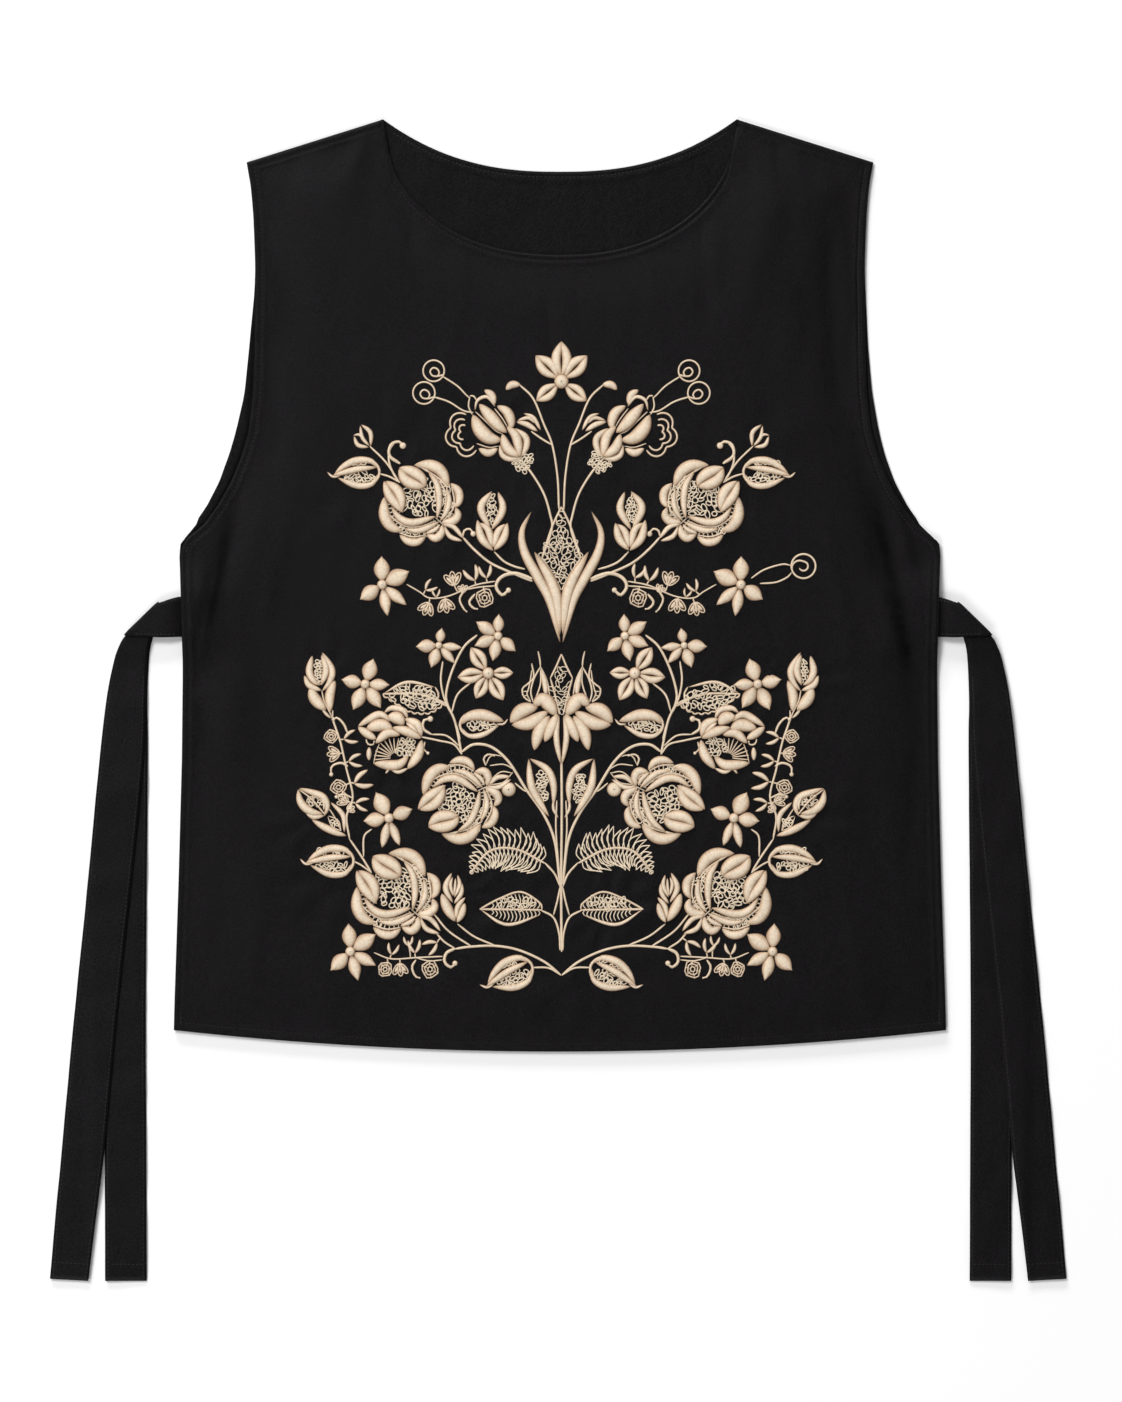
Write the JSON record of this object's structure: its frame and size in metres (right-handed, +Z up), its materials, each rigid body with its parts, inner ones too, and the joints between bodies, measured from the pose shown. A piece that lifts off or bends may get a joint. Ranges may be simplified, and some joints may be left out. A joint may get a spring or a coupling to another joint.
{
  "type": "embroidered waistcoat",
  "caption": "Black sleeveless pull-over waistcoat with side ties and a mirrored padded floral embroidery in cream thread, laid flat with its front up.",
  "frame": {"origin": "middle of the bounding box on the surface it lies on", "axes": "+Y from the hem to the neck, +Z up off the surface, +X to the picture's right"},
  "size_m": [0.6705, 0.766, 0.008],
  "materials": {
    "black_cotton": "matt black twill cotton with a faint soft sheen",
    "black_cotton_back": "matt black cotton, inside face at the neck",
    "black_tie_cotton": "matt black cotton strip, stitched along both edges",
    "cream_thread": "padded satin stitch with a low silky sheen",
    "pale_thread": "padded satin stitch, paler, low silky sheen",
    "netted_thread": "open netted thread over the black cloth"
  },
  "bodies": {
    "root": {"back_panel": "black_cotton_back", "front_panel": "black_cotton", "tie_upper_left": "black_tie_cotton", "tie_upper_right": "black_tie_cotton", "tie_lower_left": "black_tie_cotton", "tie_lower_right": "black_tie_cotton", "crown_blossom": "pale_thread", "tulip_heart": "netted_thread", "iris": "cream_thread", "peony_left": "cream_thread", "peony_right": "cream_thread", "rose_chest_left": "cream_thread", "rose_chest_right": "cream_thread", "rose_waist_left": "cream_thread", "rose_waist_right": "cream_thread", "rose_hem_left": "cream_thread", "rose_hem_right": "cream_thread", "half_peony_left": "cream_thread", "half_peony_right": "cream_thread", "blossom_brow_left": "pale_thread", "blossom_brow_right": "pale_thread", "blossom_a_left": "pale_thread", "blossom_a_right": "pale_thread", "blossom_b_left": "pale_thread", "blossom_b_right": "pale_thread", "blossom_c_left": "pale_thread", "blossom_c_right": "pale_thread", "blossom_d_left": "pale_thread", "blossom_d_right": "pale_thread", "blossom_e_left": "pale_thread", "blossom_e_right": "pale_thread", "blossom_f_left": "pale_thread", "blossom_f_right": "pale_thread", "bud_chest_left": "cream_thread", "bud_chest_right": "cream_thread", "bud_side_left": "cream_thread", "bud_side_right": "cream_thread", "bud_hem_left": "cream_thread", "bud_hem_right": "cream_thread", "leaf_chest_left": "cream_thread", "leaf_chest_right": "cream_thread", "leaf_mesh_left": "netted_thread", "leaf_mesh_right": "netted_thread", "leaf_middle_left": "cream_thread", "leaf_middle_right": "cream_thread", "leaf_upright_left": "cream_thread", "leaf_upright_right": "cream_thread", "leaf_pair_left": "cream_thread", "leaf_pair_right": "cream_thread", "leaf_lower_left": "cream_thread", "leaf_lower_right": "cream_thread", "leaf_fern_left": "netted_thread", "leaf_fern_right": "netted_thread", "leaf_net_left": "netted_thread", "leaf_net_right": "netted_thread", "leaf_hem_left": "cream_thread", "leaf_hem_right": "cream_thread", "tulip_leaf_left": "cream_thread", "tulip_leaf_right": "cream_thread"}
  },
  "joints": []
}
